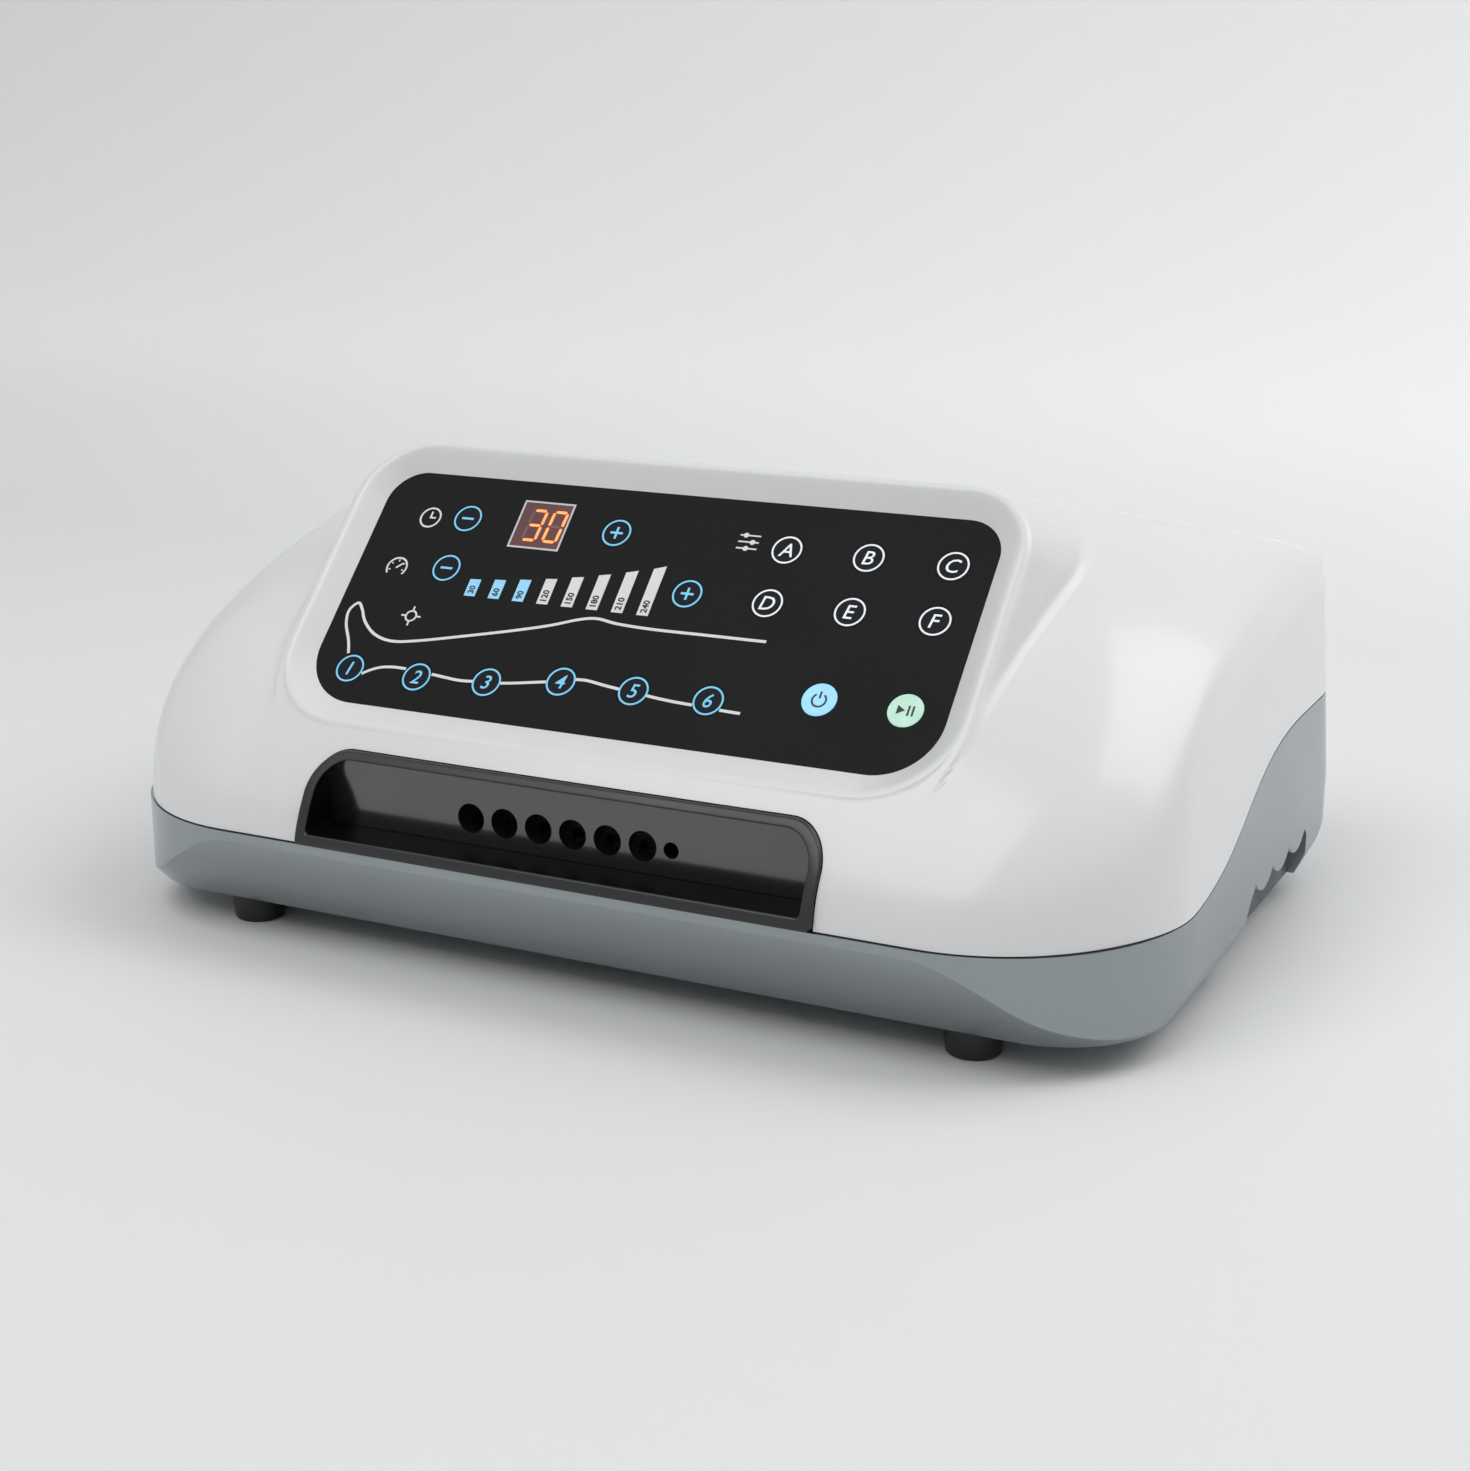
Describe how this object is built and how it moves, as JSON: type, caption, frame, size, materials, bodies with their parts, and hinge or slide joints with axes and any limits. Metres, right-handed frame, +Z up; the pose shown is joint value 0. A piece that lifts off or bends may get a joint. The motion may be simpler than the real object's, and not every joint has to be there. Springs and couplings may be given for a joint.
{
  "type": "compression therapy pump",
  "caption": "Table-top air compression control unit: white domed case on a grey base, tilted black touch panel in a raised frame, black hose socket at the front, on rubber feet.",
  "frame": {"origin": "on the table under the middle of the case", "axes": "+X right seen from the front, +Y to the rear, +Z up"},
  "size_m": [0.284, 0.2036, 0.1189],
  "materials": {
    "white_shell": "glossy white moulded ABS",
    "grey_base": "satin mid-grey moulded ABS",
    "foot_rubber": "black moulded rubber",
    "panel_black": "fine matte black plate",
    "display": "tinted display window with a pale frame",
    "key_face": "matte black key cap with a printed sign",
    "power_key": "pale blue key cap",
    "start_key": "pale green key cap",
    "bezel_black": "satin black moulded frame",
    "manifold_black": "satin black moulded block",
    "board": "green circuit board",
    "switch": "black switch bodies",
    "valve_case": "black valve bodies",
    "rail_plastic": "natural moulded plastic",
    "hose_silicone": "translucent white silicone",
    "steel": "zinc-plated steel",
    "core_steel": "laminated iron",
    "copper": "enamelled copper windings",
    "aluminium": "die-cast aluminium",
    "inlet_black": "black moulded inlet"
  },
  "bodies": {
    "case": {"air_hoses": "hose_silicone", "base_shell": "grey_base", "board_screws": "steel", "case_screws": "steel", "control_board": "board", "display_module": "display", "foot_front_left": "foot_rubber", "foot_front_right": "foot_rubber", "foot_rear_left": "foot_rubber", "foot_rear_right": "foot_rubber", "mains_inlet": "inlet_black", "panel_overlay": "panel_black", "port_bezel": "bezel_black", "port_manifold": "manifold_black", "power_board": "board", "pump_coils": "copper", "pump_core": "core_steel", "pump_diaphragms": "foot_rubber", "pump_frame": "steel", "pump_head_left": "aluminium", "pump_head_right": "aluminium", "pump_mounts": "foot_rubber", "solenoid_valve_1": "valve_case", "solenoid_valve_2": "valve_case", "solenoid_valve_3": "valve_case", "solenoid_valve_4": "valve_case", "solenoid_valve_5": "valve_case", "solenoid_valve_6": "valve_case", "tact_switches": "switch", "top_shell": "white_shell", "transformer": "core_steel", "valve_rail": "rail_plastic"},
    "key_time_minus": {"key_time_minus": "key_face"},
    "key_time_plus": {"key_time_plus": "key_face"},
    "key_pressure_minus": {"key_pressure_minus": "key_face"},
    "key_pressure_plus": {"key_pressure_plus": "key_face"},
    "key_power": {"key_power": "power_key"},
    "key_start": {"key_start": "start_key"},
    "key_mode_a": {"key_mode_a": "key_face"},
    "key_mode_b": {"key_mode_b": "key_face"},
    "key_mode_c": {"key_mode_c": "key_face"},
    "key_mode_d": {"key_mode_d": "key_face"},
    "key_mode_e": {"key_mode_e": "key_face"},
    "key_mode_f": {"key_mode_f": "key_face"},
    "key_zone_1": {"key_zone_1": "key_face"},
    "key_zone_2": {"key_zone_2": "key_face"},
    "key_zone_3": {"key_zone_3": "key_face"},
    "key_zone_4": {"key_zone_4": "key_face"},
    "key_zone_5": {"key_zone_5": "key_face"},
    "key_zone_6": {"key_zone_6": "key_face"},
    "valve_plunger_1": {"valve_plunger_1": "steel"},
    "valve_plunger_2": {"valve_plunger_2": "steel"},
    "valve_plunger_3": {"valve_plunger_3": "steel"},
    "valve_plunger_4": {"valve_plunger_4": "steel"},
    "valve_plunger_5": {"valve_plunger_5": "steel"},
    "valve_plunger_6": {"valve_plunger_6": "steel"},
    "pump_armature": {"pump_armature": "steel"}
  },
  "joints": [
    {"name": "time_minus_press", "type": "slide", "parent": "case", "child": "key_time_minus", "axis": [0, 0.7175, -0.6965], "range_m": [0, 0.0004], "stiffness_N_per_m": 800, "springref_m": -0.0002},
    {"name": "time_plus_press", "type": "slide", "parent": "case", "child": "key_time_plus", "axis": [0, 0.7175, -0.6965], "range_m": [0, 0.0004], "stiffness_N_per_m": 800, "springref_m": -0.0002},
    {"name": "pressure_minus_press", "type": "slide", "parent": "case", "child": "key_pressure_minus", "axis": [0, 0.7175, -0.6965], "range_m": [0, 0.0004], "stiffness_N_per_m": 800, "springref_m": -0.0002},
    {"name": "pressure_plus_press", "type": "slide", "parent": "case", "child": "key_pressure_plus", "axis": [0, 0.7175, -0.6965], "range_m": [0, 0.0004], "stiffness_N_per_m": 800, "springref_m": -0.0002},
    {"name": "power_press", "type": "slide", "parent": "case", "child": "key_power", "axis": [0, 0.7175, -0.6965], "range_m": [0, 0.0004], "stiffness_N_per_m": 800, "springref_m": -0.0002},
    {"name": "start_press", "type": "slide", "parent": "case", "child": "key_start", "axis": [0, 0.7175, -0.6965], "range_m": [0, 0.0004], "stiffness_N_per_m": 800, "springref_m": -0.0002},
    {"name": "mode_a_press", "type": "slide", "parent": "case", "child": "key_mode_a", "axis": [0, 0.7175, -0.6965], "range_m": [0, 0.0004], "stiffness_N_per_m": 800, "springref_m": -0.0002},
    {"name": "mode_b_press", "type": "slide", "parent": "case", "child": "key_mode_b", "axis": [0, 0.7175, -0.6965], "range_m": [0, 0.0004], "stiffness_N_per_m": 800, "springref_m": -0.0002},
    {"name": "mode_c_press", "type": "slide", "parent": "case", "child": "key_mode_c", "axis": [0, 0.7175, -0.6965], "range_m": [0, 0.0004], "stiffness_N_per_m": 800, "springref_m": -0.0002},
    {"name": "mode_d_press", "type": "slide", "parent": "case", "child": "key_mode_d", "axis": [0, 0.7175, -0.6965], "range_m": [0, 0.0004], "stiffness_N_per_m": 800, "springref_m": -0.0002},
    {"name": "mode_e_press", "type": "slide", "parent": "case", "child": "key_mode_e", "axis": [0, 0.7175, -0.6965], "range_m": [0, 0.0004], "stiffness_N_per_m": 800, "springref_m": -0.0002},
    {"name": "mode_f_press", "type": "slide", "parent": "case", "child": "key_mode_f", "axis": [0, 0.7175, -0.6965], "range_m": [0, 0.0004], "stiffness_N_per_m": 800, "springref_m": -0.0002},
    {"name": "zone_1_press", "type": "slide", "parent": "case", "child": "key_zone_1", "axis": [0, 0.7175, -0.6965], "range_m": [0, 0.0004], "stiffness_N_per_m": 800, "springref_m": -0.0002},
    {"name": "zone_2_press", "type": "slide", "parent": "case", "child": "key_zone_2", "axis": [0, 0.7175, -0.6965], "range_m": [0, 0.0004], "stiffness_N_per_m": 800, "springref_m": -0.0002},
    {"name": "zone_3_press", "type": "slide", "parent": "case", "child": "key_zone_3", "axis": [0, 0.7175, -0.6965], "range_m": [0, 0.0004], "stiffness_N_per_m": 800, "springref_m": -0.0002},
    {"name": "zone_4_press", "type": "slide", "parent": "case", "child": "key_zone_4", "axis": [0, 0.7175, -0.6965], "range_m": [0, 0.0004], "stiffness_N_per_m": 800, "springref_m": -0.0002},
    {"name": "zone_5_press", "type": "slide", "parent": "case", "child": "key_zone_5", "axis": [0, 0.7175, -0.6965], "range_m": [0, 0.0004], "stiffness_N_per_m": 800, "springref_m": -0.0002},
    {"name": "zone_6_press", "type": "slide", "parent": "case", "child": "key_zone_6", "axis": [0, 0.7175, -0.6965], "range_m": [0, 0.0004], "stiffness_N_per_m": 800, "springref_m": -0.0002},
    {"name": "valve_1_lift", "type": "slide", "parent": "case", "child": "valve_plunger_1", "axis": [0, 0, 1], "range_m": [0, 0.0015], "stiffness_N_per_m": 100, "springref_m": -0.001},
    {"name": "valve_2_lift", "type": "slide", "parent": "case", "child": "valve_plunger_2", "axis": [0, 0, 1], "range_m": [0, 0.0015], "stiffness_N_per_m": 100, "springref_m": -0.001},
    {"name": "valve_3_lift", "type": "slide", "parent": "case", "child": "valve_plunger_3", "axis": [0, 0, 1], "range_m": [0, 0.0015], "stiffness_N_per_m": 100, "springref_m": -0.001},
    {"name": "valve_4_lift", "type": "slide", "parent": "case", "child": "valve_plunger_4", "axis": [0, 0, 1], "range_m": [0, 0.0015], "stiffness_N_per_m": 100, "springref_m": -0.001},
    {"name": "valve_5_lift", "type": "slide", "parent": "case", "child": "valve_plunger_5", "axis": [0, 0, 1], "range_m": [0, 0.0015], "stiffness_N_per_m": 100, "springref_m": -0.001},
    {"name": "valve_6_lift", "type": "slide", "parent": "case", "child": "valve_plunger_6", "axis": [0, 0, 1], "range_m": [0, 0.0015], "stiffness_N_per_m": 100, "springref_m": -0.001},
    {"name": "armature_stroke", "type": "slide", "parent": "case", "child": "pump_armature", "axis": [1, 0, 0], "range_m": [-0.0015, 0.0015], "stiffness_N_per_m": 4000, "deforming": ["pump_diaphragms"]}
  ]
}
